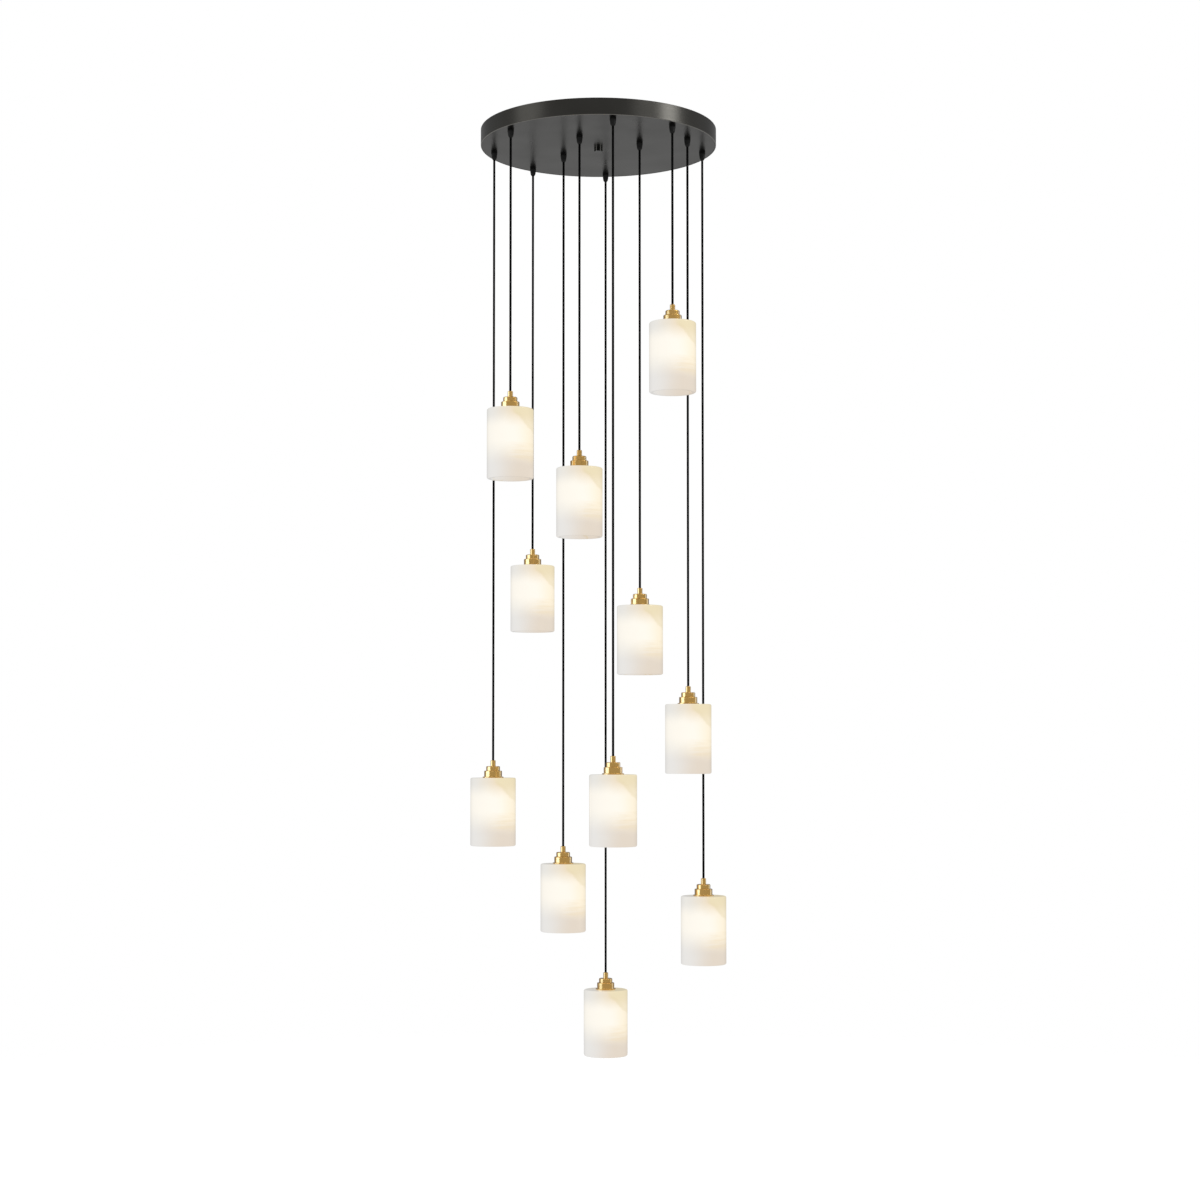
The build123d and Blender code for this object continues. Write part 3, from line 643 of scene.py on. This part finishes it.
skirt = threaded(SKIRT_RADIUS, SOCKET_RADIUS, SKIRT_FOOT, 0.0, THREAD_PITCH, THREAD_DEPTH,
                 HOLDER_SEGMENTS, THREAD_ROWS)
ring_corners = [
    (RING_RADIUS, RING_FOOT), (RING_RADIUS, RING_TOP), (RING_BORE_RADIUS, RING_TOP),
    (RING_BORE_RADIUS, RING_FOOT)]
ring = fluted(rounded(ring_corners, RING_ROUNDS), RING_RADIUS, FLUTE_REACH, FLUTE_DEPTH, FLUTE_COUNT,
              2 * HOLDER_SEGMENTS)
tiers = [turned(tier, HOLDER_SEGMENTS) for tier in (ferrule, cap, body)]
holder_points, holder_faces = joined([*tiers, skirt, ring])
for p in pendants:
    holder = new_piece(f"brass_holder_{p.number}", placed(holder_points, p), holder_faces, polished_brass)
    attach(holder, p.body)
    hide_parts(f"lamp_holder_{p.number}")
print(f"{len(pendants)} holders of {len(holder_faces)} faces")

# %% [markdown]
# ## The lamps
# Inside each holder a porcelain core carries the screw socket, and a small opal bulb is screwed into it. The
# bulb is what lights the stone. A sphere and a cone could be joined for it, but it is turned like the rest,
# so that globe, shoulder and neck run into each other. Its outline starts and ends on the axis, where the
# points of each end are merged into one pole.


# %% Opal glass and porcelain
def make_opal_glass():
    """Opal glass, blown: white all through and lit, a little uneven, with a glossy skin."""
    milk_size = 20.0 * MM
    material, tree = new_material("opal_glass")
    place = add(tree, "TexCoord").outputs["Object"]
    milk = add(tree, "TexNoise", {"Vector": place, "Scale": 1 / milk_size, "Detail": 1.0})
    light = add(tree, "Mix", {0: milk, A: linear("#FFEFD2"), B: linear("#FFF6E6")}, data_type="RGBA")
    glass = add(tree, "BsdfPrincipled", {
        "Base Color": linear("#F4F0E6"), "Emission Color": light.outputs[MIXED], "Emission Strength": 1.3,
        "Roughness": 0.15})
    add(tree, "OutputMaterial", {"Surface": glass})
    return material


def make_porcelain():
    """Porcelain, pressed, glazed and fired: cool white under a glassy skin that dips and swells a little."""
    swell_size = 8.0 * MM
    swell_height = 0.3 * MM
    material, tree = new_material("glazed_porcelain")
    place = add(tree, "TexCoord").outputs["Object"]
    swell = add(tree, "TexNoise", {"Vector": place, "Scale": 1 / swell_size, "Detail": 1.0})
    white = add(tree, "Mix", {0: swell, A: linear("#ECECE6"), B: linear("#F6F5F1")}, data_type="RGBA")
    glaze = add(tree, "Bump", {"Height": swell, "Strength": 0.15, "Distance": swell_height})
    china = add(tree, "BsdfPrincipled", {
        "Base Color": white.outputs[MIXED], "Normal": glaze, "Roughness": 0.12})
    add(tree, "OutputMaterial", {"Surface": china})
    return material


opal_glass = make_opal_glass()
porcelain = make_porcelain()
print("made", opal_glass.name, "and", porcelain.name)

# %% Outlines of bulb and core
BULB_RADIUS = 22.5
BULB_CENTRE = -55.5
NECK_RADIUS = 13.0
NECK_TOP = -24.0
NECK_LENGTH = 4.0
SHOULDER_ANGLE = radians(40.0)
GLOBE_STEPS = 40
SHOULDER_STEPS = 12
CORE_RADIUS = 17.3
CORE_FOOT = -26.0
SCREW_SOCKET_RADIUS = 13.8
SCREW_SOCKET_TOP = 0.0
NUT_POCKET_RADIUS = 8.1
NUT_POCKET_FOOT = 9.5
WIRE_HOLE_RADIUS = 3.0
CORE_ROUNDS = [0.8, 0.8, 0.3, 0.3, 0.3, 0.3, 0.5, 0.8]

# The globe is an arc, and its shoulder an S-shaped ease from the arc's end to the neck
globe_angle = np.linspace(-np.pi / 2, SHOULDER_ANGLE, GLOBE_STEPS)
globe = np.column_stack([BULB_RADIUS * np.cos(globe_angle), BULB_CENTRE + BULB_RADIUS * np.sin(globe_angle)])
ease = np.linspace(0.0, 1.0, SHOULDER_STEPS)[1:, None]
smooth = ease * ease * (3 - 2 * ease)
neck_foot = np.array([NECK_RADIUS, NECK_TOP - NECK_LENGTH])
shoulder = np.column_stack([globe[-1, 0] + (neck_foot[0] - globe[-1, 0]) * smooth,
                            globe[-1, 1] + (neck_foot[1] - globe[-1, 1]) * ease])
bulb_outline = np.concatenate([globe, shoulder, [(NECK_RADIUS, NECK_TOP), (0.0, NECK_TOP)]])
core_corners = [
    (CORE_RADIUS, CORE_FOOT), (CORE_RADIUS, body_ceiling), (NUT_POCKET_RADIUS, body_ceiling),
    (NUT_POCKET_RADIUS, NUT_POCKET_FOOT), (WIRE_HOLE_RADIUS, NUT_POCKET_FOOT),
    (WIRE_HOLE_RADIUS, SCREW_SOCKET_TOP), (SCREW_SOCKET_RADIUS, SCREW_SOCKET_TOP),
    (SCREW_SOCKET_RADIUS, CORE_FOOT)]
core_outline = rounded(core_corners, CORE_ROUNDS)
print(f"bulb outline of {len(bulb_outline)} points, core outline of {len(core_outline)}")

# %% Lamps
LAMP_SEGMENTS = 64
SEWING_GAP = 0.01 * MM

bulb_points = turned(bulb_outline, LAMP_SEGMENTS)
bulb_faces = grid_faces(*bulb_points.shape[:2])
core_points = turned(core_outline, LAMP_SEGMENTS)
core_faces = grid_faces(*core_points.shape[:2])
for p in pendants:
    bulb = new_piece(f"opal_bulb_{p.number}", placed(bulb_points, p), bulb_faces, opal_glass)
    sewn = bmesh.new()
    sewn.from_mesh(bulb.data)
    bmesh.ops.remove_doubles(sewn, verts=sewn.verts, dist=SEWING_GAP)
    sewn.to_mesh(bulb.data)
    sewn.free()
    core = new_piece(f"porcelain_core_{p.number}", placed(core_points, p), core_faces, porcelain)
    for piece in (bulb, core):
        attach(piece, p.body)
        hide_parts(f"lamp_{p.number}")
print(f"{len(pendants)} bulbs of {len(bulb.data.polygons)} faces, each in a porcelain core")

# %% [markdown]
# ## The canopy
# The canopy is a rolled steel rim and a flat drilled plate that sits up inside it, both brushed to a satin
# and plated to a dark gunmetal. A lighter band along the rim's lower edge is a painted highlight.
# The rim is turned from an outline, fine enough to stay round at its edge. The plate, and everything that is
# bolted to it, are flat or small, so they stay as the frame has them. Brushed hairlines are drawn coarser
# than real ones, so that they show.

# %% Gunmetal material
rim_low, rim_high = [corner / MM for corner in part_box("canopy_rim")]
EDGE_ROUND = 1.2


def make_gunmetal():
    """Steel, brushed and plated gunmetal: a dark, blurred mirror with faint hairlines and a painted edge
    highlight.
    """
    hairline_length = 90.0 * MM
    hairline_width = 0.7 * MM
    blotch_size = 45.0 * MM
    material, tree = new_material("gunmetal_plated_steel")
    place = add(tree, "TexCoord").outputs["Object"]
    scales = [1 / size for size in (hairline_length, hairline_length, hairline_width)]
    lines = add(tree, "VectorMath", {0: place, 1: scales}, operation="MULTIPLY")
    hair = add(tree, "TexNoise", {"Vector": lines, "Scale": 1.0, "Detail": 2.0})
    blotch = add(tree, "TexNoise", {"Vector": place, "Scale": 1 / blotch_size, "Detail": 3.0})
    plating = add(tree, "Mix", {0: blotch, A: linear("#3E3D3A"), B: linear("#464542")}, data_type="RGBA")

    # The painted highlight sits where the outermost stretch and the lowest stretch of the rim meet
    level = add(tree, "VectorMath", {0: place, 1: LEVEL}, operation="MULTIPLY")
    reach = add(tree, "VectorMath", {0: level}, operation="LENGTH").outputs["Value"]
    outer = add(tree, "MapRange", {"Value": reach, "From Min": (rim_high.x - 2 * EDGE_ROUND) * MM,
                                   "From Max": (rim_high.x - EDGE_ROUND) * MM})
    height = add(tree, "SeparateXYZ", {0: place}).outputs["Z"]
    lower = add(tree, "MapRange", {"Value": height, "From Min": (rim_low.z + EDGE_ROUND) * MM,
                                   "From Max": (rim_low.z + EDGE_ROUND / 2) * MM})
    painted_edge_highlight = add(tree, "Math", {0: outer, 1: lower}, operation="MULTIPLY")
    ends = {A: plating.outputs[MIXED], B: linear("#8F8D88")}
    colour = add(tree, "Mix", {0: painted_edge_highlight, **ends}, data_type="RGBA")
    gloss = add(tree, "MapRange", {"Value": hair, "To Min": 0.24, "To Max": 0.34})
    steel = add(tree, "BsdfPrincipled", {
        "Base Color": colour.outputs[MIXED], "Roughness": gloss, "Metallic": 1.0})
    add(tree, "OutputMaterial", {"Surface": steel})
    return material


gunmetal = make_gunmetal()
print("made", gunmetal.name)

# %% Canopy rim
RIM_SEGMENTS = 256
RIM_WALL = 2.0
INNER_FLANGE_REACH = 10.0
INNER_FLANGE_LOW = -33.5
INNER_FLANGE_HIGH = -32.0
RIM_ROUNDS = [EDGE_ROUND, 0.4, 0.4, 0.6, 0.3, 0.3, 0.3, 0.4]

wall_inside = rim_high.x - RIM_WALL
flange_edge = rim_high.x - INNER_FLANGE_REACH
rim_corners = [
    (rim_high.x, rim_low.z), (rim_high.x, 0), (wall_inside, 0), (wall_inside, INNER_FLANGE_HIGH),
    (flange_edge, INNER_FLANGE_HIGH), (flange_edge, INNER_FLANGE_LOW), (wall_inside, INNER_FLANGE_LOW),
    (wall_inside, rim_low.z)]
rim_points = turned(rounded(rim_corners, RIM_ROUNDS), RIM_SEGMENTS)
rim = new_piece("rolled_rim", rim_points * MM, grid_faces(*rim_points.shape[:2]), gunmetal)
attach(rim, "canopy")
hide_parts("canopy_rim")
print(f"rim of {2 * rim_high.x:.0f} mm across, {-rim_low.z:.0f} mm deep")

# %% [markdown]
# ## Fittings on the canopy
# Black cord grips, a black hexagon nut, a zinc-plated bar and rod, and two white terminal blocks are the
# ordinary fittings that a lamp maker buys in. Their shapes are right in the frame, so each only needs its
# own finish. Each finish could have a graph of its own, but all four are built alike, of two near colours and
# a range of gloss mixed by a mottle, so one function makes them.


# %% Finishes of the fittings
def make_fitting_finish(name, colours, mottle_size, roughness, metallic=0.0, specular=0.5, highlight_from=None):
    """A mottled finish: two near colours and a range of gloss, mixed by clouds of a real size in millimetres.
    From the highlight radius outwards, on a piece about the canopy's axis, a lighter colour stands in as a
    painted highlight."""
    mottle_depth = 0.1 * MM
    highlight_fade = 0.2
    material, tree = new_material(name)
    place = add(tree, "TexCoord").outputs["Object"]
    mottle = add(tree, "TexNoise", {"Vector": place, "Scale": 1 / (mottle_size * MM), "Detail": 3.0})
    dark, light = [linear(colour) for colour in colours]
    colour = add(tree, "Mix", {0: mottle, A: dark, B: light}, data_type="RGBA")
    if highlight_from:
        level = add(tree, "VectorMath", {0: place, 1: LEVEL}, operation="MULTIPLY")
        reach = add(tree, "VectorMath", {0: level}, operation="LENGTH").outputs["Value"]
        painted_highlight = add(tree, "MapRange", {"Value": reach, "From Min": highlight_from * MM,
                                      "From Max": (highlight_from + highlight_fade) * MM})
        ends = {A: colour.outputs[MIXED], B: linear("#D8D7D2")}
        colour = add(tree, "Mix", {0: painted_highlight, **ends}, data_type="RGBA")
    gloss = add(tree, "MapRange", {"Value": mottle, "To Min": roughness[0], "To Max": roughness[1]})
    skin = add(tree, "Bump", {"Height": mottle, "Strength": 0.05, "Distance": mottle_depth})
    surface = add(tree, "BsdfPrincipled", {
        "Base Color": colour.outputs[MIXED], "Roughness": gloss, "Normal": skin, "Metallic": metallic,
        "Specular IOR Level": specular})
    add(tree, "OutputMaterial", {"Surface": surface})
    return material


# Moulded nylon gives a soft black sheen
black_nylon = make_fitting_finish(
    "moulded_black_nylon", ("#080808", "#111110"), mottle_size=1.5, roughness=(0.3, 0.42), specular=0.3)
# Black nickel gives a hard dark mirror, with a painted highlight in a lighter colour at the corners of the
# nut
black_nickel = make_fitting_finish(
    "black_nickel_plate", ("#2B2B29", "#373735"), mottle_size=3.0, roughness=(0.18, 0.28), metallic=1.0,
    highlight_from=9.2)
# Zinc plating gives a bluish grey mirror with a cloudy bloom
zinc_steel = make_fitting_finish(
    "zinc_plated_steel", ("#B4B8BC", "#CDD0D2"), mottle_size=6.0, roughness=(0.22, 0.42), metallic=1.0)
# Polyamide gives a creamy, slightly waxy white
white_polyamide = make_fitting_finish(
    "white_polyamide", ("#E4E1D8", "#EFEDE6"), mottle_size=4.0, roughness=(0.4, 0.55))
print("made", black_nylon.name, black_nickel.name, zinc_steel.name, white_polyamide.name)

# %% Fittings
finishes = {
    "canopy_plate": gunmetal,
    "mounting_bar": zinc_steel,
    "hanging_rod": zinc_steel,
    "rod_nuts": zinc_steel,
    "centre_nut": black_nickel,
    "earth_screw": zinc_steel,
    "grip_bodies": black_nylon,
    "grip_noses": black_nylon,
    "grip_collets": black_nylon,
    "grip_nuts": zinc_steel,
    "terminal_blocks": white_polyamide,
    "terminal_screws": zinc_steel,
    "block_studs": zinc_steel,
    "block_nuts": zinc_steel,
    "canopy_leads": black_sheath,
}
for name, material in finishes.items():
    node = frame["nodes"][name]
    node.data.materials.clear()
    node.data.materials.append(material)
print(f"{len(finishes)} fittings finished")

# %% [markdown]
# ## Studio
# The photograph is a cut-out on white. The brass shows a broad bright band on its left and a thin one on its
# right, so a wide box stands left of the pendants and a narrow one right and a little behind. Both light the
# brass alone, and are slightly blue, so that its bands come out cream and the stone keeps its own glow. The
# canopy's wall shows softer bands, for which three small boxes hang higher up, where only the wall mirrors
# them, and one more lights the tops from overhead. A picture of a studio could stand for the room, but plain
# grey with a darker screen behind is enough: the screen draws the dark edges of the round brass. The camera
# itself sees plain white and a pale floor.

# %% Room
ROOM_LIGHT = 0.5
SCREEN_LIGHT = 0.28
WHITE = (1.0, 1.0, 1.0, 1.0)
# The screen fades in where a direction points far enough back, along Y, and isn't too low, along Z
SCREEN_FADES = [("Y", 0.35, 0.75), ("Z", -0.2, -0.08)]


def make_room():
    """A world that is white to the camera. To all else it is a grey room with a darker screen at the back."""
    world = bpy.data.worlds.new("studio")
    world.use_nodes = True
    tree = world.node_tree
    tree.nodes.clear()
    towards = add(tree, "SeparateXYZ", {0: add(tree, "TexCoord").outputs["Generated"]}).outputs
    behind, raised = [
        add(tree, "MapRange", {"Value": towards[axis], "From Min": start, "From Max": end},
            interpolation_type="SMOOTHSTEP")
        for axis, start, end in SCREEN_FADES]
    screen = add(tree, "Math", {0: behind, 1: raised}, operation="MULTIPLY")
    grey = add(tree, "MapRange", {"Value": screen, "To Min": ROOM_LIGHT, "To Max": SCREEN_LIGHT})
    room = add(tree, "Background", {"Color": WHITE, "Strength": grey})
    backdrop = add(tree, "Background", {"Color": WHITE, "Strength": 1.0})
    seen = add(tree, "LightPath").outputs["Is Camera Ray"]
    both = add(tree, "MixShader", {0: seen, 1: room, 2: backdrop})
    add(tree, "OutputWorld", {"Surface": both})
    return world


bpy.context.scene.world = make_room()
bpy.context.scene.view_settings.view_transform = "Standard"
print("made the room")

# %% Soft boxes
BOX_DISTANCE = 2.6
BRASS_BOX_HEIGHT = -1.05
CANOPY_BOX_HEIGHT = 0.72


def add_soft_box(name, place, towards, size, brightness):
    """A rectangular soft light, turned to face a point and not seen by the camera. Its power is four times
    its area times the brightness that a mirror would show, in which white is 1."""
    data = bpy.data.lights.new(name, "AREA")
    data.shape = "RECTANGLE"
    data.size, data.size_y = size
    data.energy = 4 * size[0] * size[1] * brightness
    light = bpy.data.objects.new(name, data)
    light.location = place
    direction = Vector(place) - Vector(towards)
    light.rotation_euler = direction.to_track_quat("Z", "Y").to_euler()
    light.visible_camera = False
    bpy.context.scene.collection.objects.link(light)
    return light


def stand_soft_box(name, azimuth, height, size, brightness):
    """A soft box that stands round the light, at an angle from the camera's side, and faces its axis."""
    turn = radians(azimuth)
    place = (BOX_DISTANCE * sin(turn), -BOX_DISTANCE * cos(turn), height)
    return add_soft_box(name, place, (0.0, 0.0, height), size, brightness)


brass_boxes = [
    stand_soft_box("brass_left", azimuth=-75.0, height=BRASS_BOX_HEIGHT, size=(2.2, 2.3), brightness=3.5),
    stand_soft_box("brass_right", azimuth=108.0, height=BRASS_BOX_HEIGHT, size=(0.8, 2.3), brightness=1.5),
]
brass_pieces = bpy.data.collections.new("brass_pieces")
for p in pendants:
    brass_pieces.objects.link(bpy.data.objects[f"brass_holder_{p.number}"])
for light in brass_boxes:
    light.data.color = linear("#9DBEFF")[:3]
    light.light_linking.receiver_collection = brass_pieces
stand_soft_box("canopy_left", azimuth=-68.0, height=CANOPY_BOX_HEIGHT, size=(1.3, 0.8), brightness=1.1)
stand_soft_box("canopy_front", azimuth=44.0, height=CANOPY_BOX_HEIGHT, size=(1.0, 0.8), brightness=0.8)
stand_soft_box("canopy_right", azimuth=69.0, height=CANOPY_BOX_HEIGHT, size=(0.75, 0.8), brightness=6.0)
add_soft_box("overhead", place=(0.0, 0.3, 2.2), towards=(0.0, 0.0, 0.0), size=(2.0, 2.0), brightness=1.8)
print("six soft boxes lit")

# %% Floor
FLOOR_LEVEL = -2.40
FLOOR_CLEAR = 1.2
FLOOR_RADIUS = 3.5
FLOOR_SEGMENTS = 96


def make_floor():
    """A white floor sweep that fades out towards its edge, so that it meets the backdrop with no line. Its
    underside is clear, so that the light can also be looked at from below."""
    material, tree = new_material("white_floor_paint")
    place = add(tree, "TexCoord").outputs["Object"]
    middle = (0.0, 0.0, FLOOR_LEVEL)
    reach = add(tree, "VectorMath", {0: place, 1: middle}, operation="DISTANCE").outputs["Value"]
    fade = add(tree, "MapRange", {"Value": reach, "From Min": FLOOR_CLEAR, "From Max": FLOOR_RADIUS,
                                  "To Min": 1.0, "To Max": 0.0}, interpolation_type="SMOOTHSTEP")
    underside = add(tree, "NewGeometry").outputs["Backfacing"]
    shown = add(tree, "MapRange", {"Value": underside, "To Min": fade, "To Max": 0.0})
    paint = add(tree, "BsdfPrincipled", {
        "Base Color": linear("#F2F1EE"), "Roughness": 0.9, "Alpha": shown, "Emission Color": WHITE,
        "Emission Strength": 0.7})
    add(tree, "OutputMaterial", {"Surface": paint})
    return material


floor_outline = np.array([(0.0, FLOOR_LEVEL), (FLOOR_RADIUS, FLOOR_LEVEL)])
floor_faces = grid_faces(FLOOR_SEGMENTS, len(floor_outline), wrap=False)[:, ::-1]
floor = new_piece("pale_floor", turned(floor_outline, FLOOR_SEGMENTS), floor_faces, make_floor())
floor.visible_glossy = False
floor.visible_diffuse = False
print(f"floor at {FLOOR_LEVEL} m")
